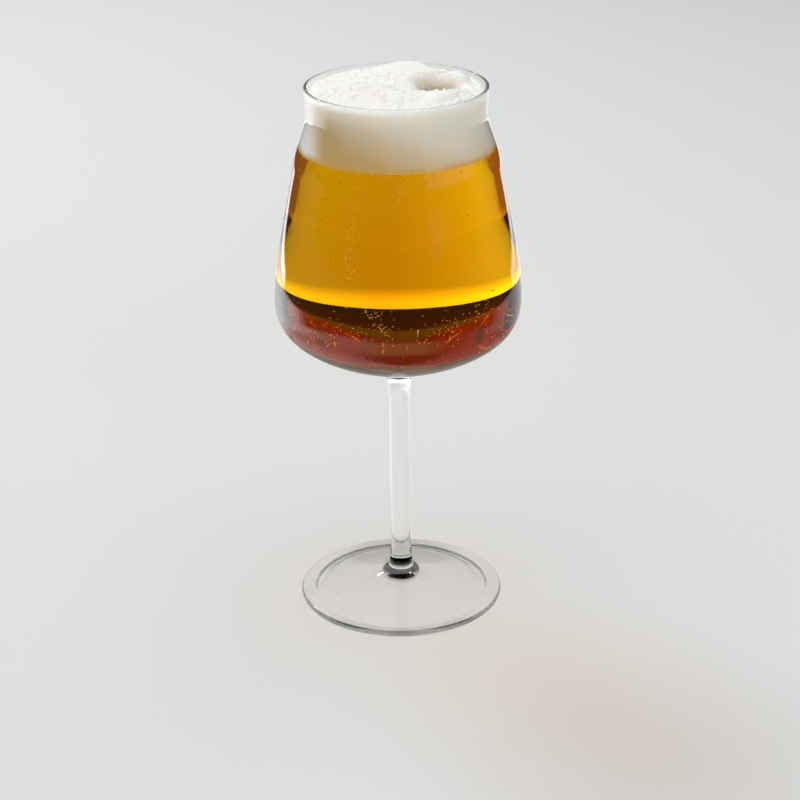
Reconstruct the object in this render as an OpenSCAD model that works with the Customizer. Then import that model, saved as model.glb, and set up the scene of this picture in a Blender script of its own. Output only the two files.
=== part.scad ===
// Stemmed tulip beer glass with its drink: a thin blown bowl, a drawn stem and a pressed foot,
// fused end to end, filled with beer under a crown of foam.
// Millimetres, +Z up. The origin is the middle of the plane that the foot rests on.

/* [Bowl] */
// Height of the bowl from the stem joint to the rim
bowl_h = 110; // [90:1:140]
// Outer diameter at the rim
rim_d = 65.4; // [58:0.2:76]
// Outer diameter of the neck under the lip
neck_d = 64.4; // [56:0.2:72]
// Depth of the neck below the rim
neck_depth = 10; // [6:0.5:16]
// Outer diameter where the shoulder starts to turn in
shoulder_d = 74.4; // [68:0.2:84]
// Depth of the shoulder below the rim
shoulder_depth = 28.5; // [22:0.5:38]
// Lean of the shoulder's wall away from upright, in degrees
shoulder_lean = 9; // [4:0.5:14]
// Widest outer diameter, at the belly
belly_d = 90.6; // [84:0.2:104]
// Height of the belly above the stem joint
belly_h = 30.5; // [24:0.5:40]
// Slope of the underside where it leaves the boss, in degrees
underside_slope = 25; // [20:0.5:28]
// Wall thickness at the lip
lip_wall = 1.2; // [0.8:0.1:2]
// Wall thickness at the belly
belly_wall = 1.8; // [1.2:0.1:2.8]
// Glass thickness over the stem joint
base_wall = 6.4; // [5:0.2:9]
// Diameter of the flat floor inside the bowl
floor_d = 27; // [20:0.5:32]
// Width of the turn from the flat floor into the wall
floor_turn = 3; // [2:0.25:4.5]
// Slope of the inside where the turn ends, in degrees
floor_slope = 30; // [26:0.5:34]

/* [Stem] */
// Length of the stem between its two joints
stem_len = 78; // [40:1:110]
// Diameter at the waist, the slimmest place
stem_d = 8; // [6:0.1:9.4]
// Height of the waist above the foot joint
waist_h = 40; // [24:1:56]
// Diameter of the joint with the bowl
bowl_joint_d = 10; // [8.5:0.1:13]
// Diameter of the joint with the foot
foot_joint_d = 9; // [8.2:0.1:11]

/* [Foot] */
// Diameter of the foot
foot_d = 77; // [64:0.5:90]
// Height of the foot from the table to the stem joint
foot_h = 12; // [11:0.5:16]
// Thickness of the foot at its rounded edge
foot_edge = 2.2; // [1.6:0.1:3.2]
// Diameter of the collar where the stem's flare meets the cone
collar_d = 14.8; // [12.5:0.1:18]
// Height of the collar above the table
collar_h = 9.2; // [8.4:0.1:10]
// Slope of the cone just outside the collar, in degrees
cone_slope = 20; // [16:0.5:22]
// Width of the flat ring that the foot rests on
rest_ring = 4; // [2:0.5:6]
// Height of the hollow under the middle of the foot
hollow_h = 6.2; // [4.5:0.1:6.6]
// Width of the rounded step from the ring up into the hollow
step_w = 1.4; // [1:0.1:2]
// Height of that step
step_h = 0.7; // [0.4:0.1:1]

/* [Drink] */
// Depth of the beer's surface below the rim
ullage = 22.2; // [18:0.2:40]
// Depth below the rim where the foam lets go of the wall
cling_depth = 13.5; // [11:0.5:17]
// Diameter of the foam column that stands free of the lip
crown_d = 58; // [48:0.5:60]
// Depth of the crown's rounded edge below the rim
crown_edge_depth = 2; // [1:0.5:5]
// Height of the crown's middle above the rim
crown_rise = 0.8; // [0:0.2:4]
// Clearance between the drink and the glass
drink_gap = 0.15; // [0.05:0.05:0.5]

/* [Hidden] */
$fn = 96;

// Steps in each curve of an outline
curve_steps = 14;
// Headings along an outline, in degrees from the outward radius
outward = 0;
upward = 90;
inward = 180;
downward = 270;

// Levels above the table
bowl_z = foot_h + stem_len;
belly_z = bowl_z + belly_h;
rim_z = bowl_z + bowl_h;
neck_z = rim_z - neck_depth;
shoulder_z = rim_z - shoulder_depth;
beer_z = rim_z - ullage;
cling_z = rim_z - cling_depth;
crown_edge_z = rim_z - crown_edge_depth;
crown_z = rim_z + crown_rise;

// The wall thins evenly from belly to lip
shoulder_wall = (belly_wall + lip_wall) / 2;

// Reach of a curve's handles as a share of the span it shapes
quarter_round_share = 0.5523;
underside_share = 0.646;
floor_share = 0.4;
floor_turn_share = 0.45;
floor_rise_share = 0.3;
skirt_share = 0.4;
belly_low_share = 0.508;
belly_high_share = 0.3;
shoulder_low_share = 0.28;
shoulder_high_share = 0.36;
neck_share = 0.22;
lip_low_share = 0.6;
lip_high_share = 0.2;
flare_share = 0.34;
disc_share = 0.3;
step_share = 0.45;
hollow_low_share = 0.3;
hollow_high_share = 0.35;
stem_share = 0.4;

// Boss under the bowl: how far it flares and rises, as shares of the joint's diameter
boss_flare_share = 0.16;
boss_rise_share = 0.09;
boss_flare = boss_flare_share * bowl_joint_d;
boss_rise = boss_rise_share * bowl_joint_d;
// Lean of the glass away from upright at its joints, in degrees
bowl_joint_lean = 22;
foot_joint_lean = 7;
// Slope of the foot at its edge, and of its hollow at the step and above it, in degrees
edge_slope = 9;
step_slope = 45;
hollow_slope = 12;
// Width and height of the hollow's low band above the step, as multiples of the step's
band_w_share = 3.3;
band_h_share = 2;

// Foam: steepness where it leaves the wall, and where the crown rounds over, in degrees
cling_slope = 50;
crown_slope = 35;
crown_round_share = 0.06;
crown_turn_share = 0.05;
crown_share = 0.4;
// Lumps and hollows of the crown, as shares of its diameter: x, y, height over its edge, radius
lump_shares = [[0.06, 0.22, -0.165, 0.25], [-0.24, -0.16, -0.14, 0.2], [0.24, -0.26, -0.075, 0.13]];
hollow_shares = [[0.28, -0.04, 0.08, 0.13], [0.33, 0.28, 0.06, 0.1]];

function heading(a) = [cos(a), sin(a)];

function bezier(a, b, c, d, t) =
    pow(1 - t, 3) * a + 3 * t * pow(1 - t, 2) * b + 3 * pow(t, 2) * (1 - t) * c + pow(t, 3) * d;

// A station of an outline is [point, heading, reach before, reach after]
function span(p, q) = [
    for (i = [0 : curve_steps - 1])
        bezier(p[0], p[0] + p[3] * heading(p[1]), q[0] - q[2] * heading(q[1]), q[0], i / curve_steps)
];

// The smooth outline through a row of stations
function outline(s) = concat(
    [for (i = [0 : len(s) - 2]) each span(s[i], s[i + 1])],
    [s[len(s) - 1][0]]
);

// The same stations, walked the other way
function backwards(s) = [
    for (i = [len(s) - 1 : -1 : 0]) [s[i][0], s[i][1] + inward, s[i][3], s[i][2]]
];

// One side of the bowl's wall, from the belly up to where the lip rounds over
function wall_stations(belly_in, shoulder_in, lip_in) = let (
    low_span = shoulder_z - belly_z,
    high_span = neck_z - shoulder_z,
    lip_span = rim_z - neck_z,
    lip_reach = quarter_round_share * lip_wall / 2
) [
    [[belly_d / 2 - belly_in, belly_z], upward, belly_low_share * belly_h, belly_high_share * low_span],
    [[shoulder_d / 2 - shoulder_in, shoulder_z], upward + shoulder_lean,
        shoulder_low_share * low_span, shoulder_high_share * high_span],
    [[neck_d / 2 - lip_in, neck_z], upward, neck_share * high_span, lip_low_share * lip_span],
    [[rim_d / 2 - lip_in, rim_z - lip_wall / 2], upward, lip_high_share * lip_span, lip_reach]
];

function outside_stations() = let (
    joint_r = bowl_joint_d / 2,
    underside_span = belly_d / 2 - joint_r - boss_flare
) concat(
    [
        [[joint_r, bowl_z], upward - bowl_joint_lean, 0, quarter_round_share * boss_rise],
        [[joint_r + boss_flare, bowl_z + boss_rise], underside_slope,
            quarter_round_share * boss_flare, underside_share * underside_span]
    ],
    wall_stations(0, 0, 0)
);

// The hollow of the bowl, drawn in by a clearance
function cavity_stations(inset) = let (
    floor_z = bowl_z + base_wall + inset,
    floor_r = floor_d / 2 - inset,
    turn_r = floor_r + floor_turn,
    turn_z = floor_z + floor_rise_share * floor_turn,
    turn_reach = floor_turn_share * floor_turn
) concat(
    [
        [[0, floor_z], outward, 0, floor_share * floor_r],
        [[floor_r, floor_z], outward, floor_share * floor_r, turn_reach],
        [[turn_r, turn_z], floor_slope, turn_reach, skirt_share * (belly_d / 2 - turn_r)]
    ],
    wall_stations(belly_wall + inset, shoulder_wall + inset, lip_wall + inset)
);

module bowl() {
    lip_reach = quarter_round_share * lip_wall / 2;
    lip_top = [[rim_d / 2 - lip_wall / 2, rim_z], inward, lip_reach, lip_reach];
    color("#eef3f2", 0.35)
    rotate_extrude()
    polygon(concat(
        [[0, bowl_z]],
        outline(concat(outside_stations(), [lip_top], backwards(cavity_stations(0))))
    ));
}

module stem() {
    waist_z = foot_h + waist_h;
    color("#e6ecea", 0.45)
    rotate_extrude()
    polygon(concat(
        [[0, foot_h]],
        outline([
            [[foot_joint_d / 2, foot_h], upward + foot_joint_lean, 0, stem_share * waist_h],
            [[stem_d / 2, waist_z], upward, stem_share * waist_h, stem_share * (bowl_z - waist_z)],
            [[bowl_joint_d / 2, bowl_z], upward - bowl_joint_lean, bowl_joint_d / 2, 0]
        ]),
        [[0, bowl_z]]
    ));
}

module foot() {
    edge_r = foot_edge / 2;
    edge_reach = quarter_round_share * edge_r;
    disc_span = (foot_d - collar_d) / 2 - edge_r;
    flare_span = foot_h - collar_h;
    ring_r = foot_d / 2 - edge_r - rest_ring;
    step_reach = step_share * step_w;
    band_w = band_w_share * step_w;
    band_h = band_h_share * step_h;
    color("#e2e8e7", 0.45)
    rotate_extrude()
    polygon(concat(
        [[0, foot_h]],
        outline([
            [[foot_joint_d / 2, foot_h], downward + foot_joint_lean, 0, flare_share * flare_span],
            [[collar_d / 2, collar_h], outward - cone_slope, flare_share * flare_span, disc_share * disc_span],
            [[foot_d / 2 - edge_r, foot_edge], outward - edge_slope, disc_share * disc_span, edge_reach],
            [[foot_d / 2, edge_r], outward - upward, edge_reach, edge_reach],
            [[foot_d / 2 - edge_r, 0], outward - inward, edge_reach, 0]
        ]),
        outline([
            [[ring_r, 0], inward, 0, step_reach],
            [[ring_r - step_w, step_h], inward - step_slope, step_reach, step_reach],
            [[ring_r - step_w - band_w, step_h + band_h], inward - hollow_slope,
                step_reach, hollow_low_share * ring_r],
            [[0, hollow_h], inward, hollow_high_share * ring_r, 0]
        ])
    ));
}

// Half of the space that the drink can take up, carried straight up past the rim
module drink_space() {
    mouth_r = rim_d / 2 - lip_wall - drink_gap;
    polygon(concat(
        outline(cavity_stations(drink_gap)),
        [[mouth_r, crown_z + lip_wall], [0, crown_z + lip_wall]]
    ));
}

module beer() {
    color("#d08a06", 0.85)
    rotate_extrude()
    intersection() {
        drink_space();
        square([belly_d / 2, beer_z]);
    }
}

// Half of the foam's section: it fills the bowl up to the cling line, then stands free
module foam_section() {
    crown_r = crown_d / 2;
    round_r = crown_round_share * crown_d;
    turn = crown_turn_share * crown_d;
    intersection() {
        drink_space();
        polygon(concat(
            [[0, beer_z], [belly_d / 2, beer_z], [belly_d / 2, cling_z]],
            outline([
                [[neck_d / 2, cling_z], inward - cling_slope, 0, turn],
                [[crown_r, cling_z + turn], upward, turn / 2, turn],
                [[crown_r - round_r, crown_edge_z], inward - crown_slope, round_r, round_r],
                [[0, crown_z], inward, crown_share * crown_r, 0]
            ])
        ));
    }
}

// One ball of the crown's lumps or hollows
module crown_ball(shares) {
    translate([shares[0] * crown_d, shares[1] * crown_d, crown_edge_z + shares[2] * crown_d])
    sphere(shares[3] * crown_d);
}

module foam_head() {
    color("#f3f1ea")
    difference() {
        union() {
            rotate_extrude() foam_section();
            intersection() {
                union() for (lump = lump_shares) crown_ball(lump);
                translate([0, 0, cling_z]) cylinder(d = crown_d, h = crown_d);
            }
        }
        for (hollow = hollow_shares) crown_ball(hollow);
    }
}

bowl();
stem();
foot();
beer();
foam_head();
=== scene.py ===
"""A stemmed tulip beer glass, poured with amber beer under a crown of foam, built on its CAD frame."""

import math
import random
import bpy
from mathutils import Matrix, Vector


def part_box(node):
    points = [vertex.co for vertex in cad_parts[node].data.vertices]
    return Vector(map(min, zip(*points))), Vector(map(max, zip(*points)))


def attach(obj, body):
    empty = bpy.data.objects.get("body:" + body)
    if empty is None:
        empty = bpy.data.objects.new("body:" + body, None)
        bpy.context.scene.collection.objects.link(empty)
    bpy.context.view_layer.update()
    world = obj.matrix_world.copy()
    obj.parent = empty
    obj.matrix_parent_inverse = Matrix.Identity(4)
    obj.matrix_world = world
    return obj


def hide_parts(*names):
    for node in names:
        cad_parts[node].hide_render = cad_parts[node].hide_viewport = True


bl_info = {
    "name": "Tulip beer glass",
    "version": (1, 0, 0),
    "blender": (4, 5, 0),
    "location": "View3D > Sidebar > Tulip glass",
    "description": "Builds a stemmed tulip glass with its beer and foam, and a soft studio round it",
    "category": "Object",
}

import bmesh
import bpy
from bpy.props import FloatProperty, FloatVectorProperty, IntProperty, PointerProperty
from mathutils import Matrix, Vector, noise

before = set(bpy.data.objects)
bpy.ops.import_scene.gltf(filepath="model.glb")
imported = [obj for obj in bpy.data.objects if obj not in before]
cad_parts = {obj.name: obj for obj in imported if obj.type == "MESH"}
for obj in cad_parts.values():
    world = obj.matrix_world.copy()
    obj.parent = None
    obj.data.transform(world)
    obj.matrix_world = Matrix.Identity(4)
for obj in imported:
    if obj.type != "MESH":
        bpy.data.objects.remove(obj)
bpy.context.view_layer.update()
FOOT_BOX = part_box("foot")
STEM_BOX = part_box("stem")
BOWL_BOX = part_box("bowl")
BEER_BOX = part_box("beer")
FOAM_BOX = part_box("foam_head")

MM = 0.001
DEGREES = 180.0 / math.pi
ABOUT_Z = {"cent": (0, 0, 0), "axis": (0, 0, 1)}
# Points nearer to each other than this are one point
TOUCH = 1e-6
# A face is level when the Z of its normal is past this
LEVEL = 0.9

# Reach of a curve's handles: for a quarter round, as a share of its radius
QUARTER_ROUND = 0.5523
# Reach of the other curves' handles, before and after a station, as shares of the stretch they shape
SKIRT_EASE = 0.646
BELLY_EASE = (0.508, 0.3)
SHOULDER_EASE = (0.28, 0.36)
NECK_EASE = (0.22, 0.6)
LIP_EASE = 0.2
FLOOR_EASE = 0.4
FLOOR_TURN_EASE = 0.45
STEM_EASE = 0.4
FLARE_EASE = 0.5
COLLAR_EASE = 0.34
DISC_EASE = 0.3
STEP_EASE = 0.45
HOLLOW_EASE = (0.3, 0.35)
CROWN_EASE = 0.4
# Rise of the turn at the bowl's floor, as a share of its width
FLOOR_TURN_RISE = 0.3
# The beer's side has no point nearer its surface than this
SURFACE_GAP = 0.2 * MM

# Heaps and hollows of the foam's crown: x, y and width as shares of its radius, then height in metres
HEAPS = (
    (0.16, 0.62, 0.34, 0.0036),
    (0.36, 0.36, 0.17, 0.0022),
    (-0.30, 0.50, 0.30, 0.0014),
    (-0.46, -0.34, 0.28, 0.0024),
    (-0.05, -0.58, 0.24, 0.0014),
    (0.20, 0.05, 0.22, 0.0018),
    (0.74, 0.26, 0.16, 0.0024),
    (0.58, -0.56, 0.24, 0.0018),
)
DEEP_HOLLOWS = (
    (0.50, -0.06, 0.28, 0.0056),
    (0.58, 0.56, 0.20, 0.0045),
)
SHALLOW_HOLLOWS = (
    (-0.34, -0.02, 0.17, 0.0014),
    (0.08, -0.28, 0.18, 0.0012),
)
# Bubbly patches of the crown: x, y and width as shares of its radius, then how bubbly, up to 1
FROTHY = (
    (-0.45, -0.30, 0.42, 1.0),
    (-0.15, 0.15, 0.40, 0.8),
    (0.75, -0.38, 0.16, 0.9),
)
# The crown climbs to the right by its tilt, from a little under its own outline
CROWN_TILT = 1.0 * MM
CROWN_SINK = 0.3 * MM
# Relief of the foam, from coarse to fine: how many lumps to a metre
SWELLS = 130.0
CURDS = 330.0
CELLS = 620.0
GRAINS = 900.0
FINES = 2100.0
# How far the lumps push the foam out, and how high they stand on the crown
SWELL_OUT = 0.5 * MM
CURD_OUT = 0.3 * MM
GRAIN_OUT = 0.12 * MM
CURD_H = 1.1 * MM
GRAIN_H = 0.5 * MM
FINE_H = 0.1 * MM
CELL_H = 0.1 * MM
FROTH_H = 0.4 * MM
# Radius of a cell's dome, in cells
CELL_R = 0.75
# Heights over which the foam comes free of the wall and turns into the crown, which starts under its edge
FREE_H = 2.0 * MM
TOP_H = 1.4 * MM
TOP_START = 0.8 * MM
# The heaps run out over this width at the crown's edge, and keep this share of their height there
FALL_W = 4.0 * MM
FALL_LEAST = 0.35

# Radii of bubbles, the least and the most
BEAD_R = (0.18 * MM, 0.55 * MM)
WALL_BUBBLE_R = (0.09 * MM, 0.21 * MM)
ROW_BUBBLE_R = (0.10 * MM, 0.21 * MM)
LINE_BUBBLE_R = (0.10 * MM, 0.22 * MM)
STREAM_BUBBLE_R = (0.10 * MM, 0.20 * MM)
STREAK_R = 0.17 * MM
# Bubbles on the wall stand this far in from the glass and this far under the surface
BUBBLE_INSET = 0.6 * MM
BUBBLE_DEPTH = 1.0 * MM
# How strongly bubbles on the wall crowd to the bowl's floor
WALL_CROWDING = 1.2
# Rows of bubbles held on the glass: bearing and height at both ends, spread in degrees, and count
BUBBLE_ROWS = (
    ((245.0, 0.050), (246.5, 0.078), 2.4, 100),
    ((252.0, 0.044), (268.0, 0.030), 1.1, 46),
    ((206.0, 0.026), (212.0, 0.038), 3.0, 60),
    ((226.0, 0.028), (262.0, 0.036), 6.0, 70),
    ((276.0, 0.030), (306.0, 0.036), 6.0, 46),
    ((310.0, 0.033), (313.0, 0.042), 2.2, 30),
    ((272.0, 0.076), (273.5, 0.086), 2.4, 30),
    ((286.0, 0.072), (287.0, 0.083), 1.6, 18),
    ((322.0, 0.020), (334.0, 0.036), 4.0, 44),
)
ROW_SPREAD = 1.2 * MM
# Bubbles that rise fast enough to smear: bearing, height and length
BUBBLE_STREAKS = (
    (278.7, 0.0335, 0.0024),
    (239.0, 0.0275, 0.0022),
    (294.0, 0.0300, 0.0016),
    (222.0, 0.0250, 0.0018),
)
# The line of bubbles along the surface: its depth, its spread downwards and its step in from the wall
LINE_DEPTH = 0.3 * MM
LINE_SPREAD = 0.4 * MM
LINE_INSET = 0.2 * MM
# Rising streams: x, y and height over the beer's floor, then x and y at the surface, and share of the count
BUBBLE_STREAMS = (
    ((-0.004, -0.012, 0.016), (-0.017, -0.010), 1.0),
    ((0.008, 0.002, 0.020), (0.010, 0.000), 0.4),
    ((0.013, -0.010, 0.020), (0.022, -0.012), 0.5),
)
# A stream's bubbles: unevenness of their steps, where they start, how far they go and how they crowd upwards
STREAM_JITTER = 0.4
STREAM_START = 0.03
STREAM_RUN = 0.94
STREAM_CROWDING = 0.9
# Sway of a stream at its foot, and how much it grows to its head
STREAM_SWAY = 0.36 * MM
STREAM_SWAY_GROWTH = 1.32 * MM

# Indices of the glass against air and against the drink, and of the drink against gas
GLASS_INDEX = 1.5
WETTED_INDEX = 1.119
DRINK_INDEX = 1.34
# Ripple of blown glass: ripples to a metre and their height; smears are rough up to this
RIPPLES = 60.0
RIPPLE_H = 0.06 * MM
SMEAR = 0.012
# Light that grazes glass weakens to this share, from this share of the way between facing it and edge-on
GRAZE_SHADE = 0.75
GRAZE_START = 0.75
WHITE = (1.0, 1.0, 1.0)
CLEAR = {"Base Color": (*WHITE, 1.0), "Transmission Weight": 1.0, "Roughness": 0.0}

# Lamps: name, setting of the power, width and depth, place, and whether it shows in the glass
LAMPS = (
    ("key_lamp", "key_power", (0.9, 0.9), (-0.80, 1.15, 1.50), False),
    ("top_lamp", "top_power", (2.2, 2.2), (0.0, 0.1, 1.9), False),
    ("fill_lamp", "fill_power", (1.2, 0.9), (0.55, -1.5, 0.75), False),
    ("glint_lamp", "glint_power", (0.09, 0.09), (-0.70, 1.44, 1.30), True),
)
LAMP_AIM = (0.0, 0.0, 0.10)
# The floor lies this far under the glass; its tone wavers between two shares, and painted shade darkens it
# far away
FLOOR_GAP = 0.1 * MM
FLOOR_WAVER = (0.985, 1.01)
FLOOR_FAR_SHADE = 0.9
FLOOR_SHADE_START = 0.1
FLOOR_SHADE_END = 1.2

# Bands of the studio's light: a way, two places along it, and the strengths there, 0 and 1 if not given.
# Ways in degrees are rise over the horizon, turn from the far side to the right, and swing to either side.
# The way side goes from -1 at the left to 1 at the right. A straight band has no soft ends.
STRAIGHT = False
BANDS = {
    # What the glass bends to the eye: a table that brightens to its edge and to the left, and a dim room
    "table_depth": ("rise", -14.0, -7.0, 0.76, 1.85, STRAIGHT),
    "table_left": ("turn", -30.0, 2.0, 1.6, 1.08, STRAIGHT),
    "table_back": ("swing", 52.0, 122.0, 1.0, 0.5, STRAIGHT),
    "table_edge": ("rise", -3.6, -4.2),
    "room_wall": ("rise", 7.5, 9.0, 0.0, 0.11),
    # What the glass mirrors: a streak at either side, and the ground round the glass
    "ground_depth": ("rise", -33.0, -23.0),
    "streak_sides": ("swing", 8.0, 34.0, 0.0, 1.4),
    "streak_calm": ("rise", -19.0, -16.5, 1.0, 0.7),
    "streak_crest": ("rise", -14.9, -14.0, 0.8, 3.2),
    "streak_end": ("swing", 51.0, 48.5),
    "streak_top": ("rise", -12.3, -13.2),
    "ground_far": ("swing", 115.0, 65.0, 0.0, 1.3),
    "ground_top": ("rise", -14.5, -15.7),
    "near_front": ("swing", 100.0, 140.0),
    "near_right": ("side", -0.85, -0.1),
    "aside_swing": ("swing", 70.0, 90.0),
    "aside_rise": ("rise", -22.0, -19.0),
    "gain_left": ("turn", -46.0, -16.0, 1.3, 0.6),
    "gain_right": ("turn", -10.0, 10.0, 0.0, 0.2),
    "gain_fall": ("turn", -20.0, 60.0, 1.0, 0.62, STRAIGHT),
    # What the glass mirrors from above: a pale ceiling on the far side, and a tall pane at the right
    "ceiling_far": ("swing", 65.0, 50.0, 0.0, 0.7),
    "ceiling_low": ("rise", 8.0, 14.0),
    "ceiling_high": ("rise", 70.0, 58.0),
    "pane_start": ("turn", 81.0, 84.0),
    "pane_end": ("turn", 151.0, 146.0),
    "pane_rise": ("rise", 0.0, 8.0, 0.0, 0.6),
    # Golden light off the near ground, mirrored low on the belly
    "glow_front": ("swing", 120.0, 160.0),
    "glow_top": ("rise", -21.0, -26.0),
    "glow_low": ("rise", -60.0, -45.0, 0.0, 1.1),
    # What lights dull surfaces, stronger from the left
    "ambient": ("side", -1.0, 1.0, 0.52, 0.16, STRAIGHT),
}
ROOM_DIM = 0.02
BACKDROP = 0.76
# Strength of the near ground in most directions, and at the front right
NEAR_GROUND = (0.85, 0.06)
GLOW_TINT = (1.0, 0.82, 0.25, 1.0)


def length(label, text, default):
    """A length in metres that a user may change."""
    return FloatProperty(name=label, description=text, default=default, min=0.0, precision=5, unit="LENGTH")


def angle(label, text, degrees):
    """An angle that a user may change, given in degrees."""
    return FloatProperty(name=label, description=text, default=math.radians(degrees), unit="ROTATION")


def power(label, text, watts):
    """The power of a lamp, which a user may change."""
    return FloatProperty(name=label, description=text, default=watts, min=0.0, unit="POWER")


def count(label, text, default):
    """A number of bubbles that a user may change."""
    return IntProperty(name=label, description=text, default=default, min=0)


def tint(label, text, default):
    """A colour that a user may change."""
    return FloatVectorProperty(
        name=label, description=text, default=default, size=3, min=0.0, max=1.0, subtype="COLOR"
    )


class TulipBowlSizes(bpy.types.PropertyGroup):
    """Sizes of the blown bowl; its height and belly come from the CAD bowl."""

    rim_d: length("Rim diameter", "Outside diameter at the lip", 65.4 * MM)
    neck_d: length("Neck diameter", "Outside diameter where the lip starts to flare", 64.4 * MM)
    neck_depth: length("Neck depth", "How far the neck sits under the lip", 10.0 * MM)
    shoulder_d: length("Shoulder diameter", "Outside diameter at the shoulder", 74.4 * MM)
    shoulder_depth: length("Shoulder depth", "How far the shoulder sits under the lip", 28.5 * MM)
    shoulder_lean: angle("Shoulder lean", "How far the shoulder leans in", 9.0)
    belly_rise: length("Belly rise", "Height of the widest turn over the bowl's foot", 30.5 * MM)
    underside_slope: angle("Underside slope", "Climb of the cone under the bowl", 25.0)
    boss_d: length("Boss diameter", "Where the cone leaves the boss", 13.2 * MM)
    boss_h: length("Boss height", "Height of the boss over the stem", 0.9 * MM)
    lip_wall: length("Lip wall", "Thickness of the lip", 1.2 * MM)
    shoulder_wall: length("Shoulder wall", "Thickness of the wall at the shoulder", 1.5 * MM)
    belly_wall: length("Belly wall", "Thickness of the wall at the belly", 1.8 * MM)
    base_wall: length("Base wall", "Thickness of the glass over the stem", 6.4 * MM)
    floor_d: length("Floor diameter", "Diameter of the flat floor inside", 27.0 * MM)
    floor_turn: length("Floor turn", "Width of the turn from the floor into the wall", 3.0 * MM)
    floor_slope: angle("Floor slope", "Climb of the wall as it leaves the floor", 30.0)


class TulipStemSizes(bpy.types.PropertyGroup):
    """Sizes of the drawn stem; its ends come from the CAD stem."""

    waist_d: length("Waist diameter", "Diameter at the stem's waist", 8.0 * MM)
    waist_rise: length("Waist rise", "Height of the waist over the stem's foot", 40.0 * MM)
    bowl_joint_d: length("Bowl joint", "Diameter where the stem meets the bowl", 10.0 * MM)
    foot_joint_d: length("Foot joint", "Diameter where the stem meets the foot", 9.0 * MM)
    bowl_joint_lean: angle("Bowl joint lean", "Flare of the stem at the bowl", 22.0)
    foot_joint_lean: angle("Foot joint lean", "Flare of the stem at the foot", 7.0)


class TulipFootSizes(bpy.types.PropertyGroup):
    """Sizes of the pressed foot; its diameter and height come from the CAD foot."""

    edge_h: length("Edge thickness", "Thickness of the rounded edge", 2.2 * MM)
    trumpet_d: length("Trumpet diameter", "Diameter where the collar runs out into the cone", 14.8 * MM)
    trumpet_h: length("Trumpet height", "Height of the cone under the collar", 9.2 * MM)
    trumpet_slope: angle("Trumpet slope", "Slope where the collar runs out", 20.0)
    disc_slope: angle("Disc slope", "Slope of the cone at its edge", 9.0)
    rest_ring: length("Resting ring", "Width of the ring that stands on the table", 4.0 * MM)
    hollow_h: length("Hollow", "Rise of the hollow under the foot", 6.2 * MM)
    step_w: length("Step width", "Width of the step from the ring into the hollow", 1.4 * MM)
    step_h: length("Step height", "Height of the step from the ring into the hollow", 0.7 * MM)
    step_slope: angle("Step slope", "Climb at the top of the step", 26.0)
    run_w: length("Run width", "Width of the easy climb after the step", 4.62 * MM)
    run_h: length("Run height", "Height of the easy climb after the step", 1.4 * MM)
    run_slope: angle("Run slope", "Climb where the run passes into the hollow", 12.0)


class TulipDrinkSizes(bpy.types.PropertyGroup):
    """Sizes and colours of the drink; its levels come from the CAD beer and foam."""

    clearance: length("Clearance", "Gap between the drink and the wall", 0.15 * MM)
    cling_depth: length("Cling depth", "How far under the lip the foam leaves the wall", 2.2 * MM)
    crown_d: length("Crown diameter", "Diameter of the free crown of foam", 58.0 * MM)
    crown_edge_depth: length("Crown edge depth", "How far the crown's edge sits under the lip", 2.0 * MM)
    crown_rise: length("Crown rise", "How far the crown's middle stands over the lip", 0.8 * MM)
    beer_light: FloatVectorProperty(
        name="Beer absorption",
        description="Light lost per metre of beer, in red, green and blue",
        default=(1.9, 12.8, 105.0),
        size=3,
        min=0.0,
    )
    # Dry foam on top; the same pale colour is painted light on the foam's left flank
    foam_dry_and_lit: tint("Foam top", "Colour of the dry foam on top", (0.92, 0.91, 0.88))
    foam_side: tint("Foam side", "Colour of the creamy foam at the wall", (0.85, 0.81, 0.70))
    # Foam near the beer; the same colour is painted shade in the gaps between cells on the crown
    foam_root_and_gap_shade: tint("Foam root", "Colour of the foam near the beer", (0.62, 0.43, 0.18))
    foam_fringe: tint("Foam fringe", "Colour of the wet foam at the beer's surface", (0.66, 0.38, 0.10))
    # Painted shade: the foam's underside darkens round its middle
    foam_core_shade: tint("Foam core", "Colour of the foam's underside round its middle", (0.36, 0.27, 0.08))
    # Painted shade inside the foam's deep hollows
    foam_hollow_shade: tint("Foam hollow", "Colour of the wet foam inside the hollows", (0.46, 0.37, 0.19))
    foam_beads: count("Foam beads", "Single bubbles on the crown", 130)
    wall_bubbles: count("Wall bubbles", "Bubbles held on the glass", 1100)
    line_bubbles: count("Line bubbles", "Bubbles along the beer's surface", 300)
    stream_bubbles: count("Stream bubbles", "Bubbles in a rising stream", 70)


class TulipStageSizes(bpy.types.PropertyGroup):
    """The studio: floor, lamps and the camera."""

    table_r: length("Table radius", "Radius of the near floor", 0.18)
    table_back: length("Table set-back", "How far behind the glass the near floor's middle lies", 0.08)
    floor_r: length("Floor radius", "Radius of the whole floor", 4.0)
    floor_tint: tint("Floor colour", "Colour of the pale floor", (0.75, 0.755, 0.757))
    key_power: power("Key lamp", "Power of the key lamp", 16.5)
    top_power: power("Top lamp", "Power of the top lamp", 16.5)
    fill_power: power("Fill lamp", "Power of the front lamp", 9.4)
    glint_power: power("Glint lamp", "Power of the small lamp", 1.2)
    camera_back: length("Camera distance", "How far in front of the glass the camera stands", 0.7248)
    camera_up: length("Camera height", "Height of the camera over the floor", 0.3936)
    camera_side: length("Camera side step", "How far to the right the camera stands", 0.0002)
    camera_pitch: angle("Camera pitch", "How far the camera looks down", 23.43)
    camera_roll: angle("Camera roll", "Tilt of the camera", -0.577)
    camera_lens: FloatProperty(
        name="Lens", description="Focal length", default=95.175, min=1.0, unit="CAMERA"
    )


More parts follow.
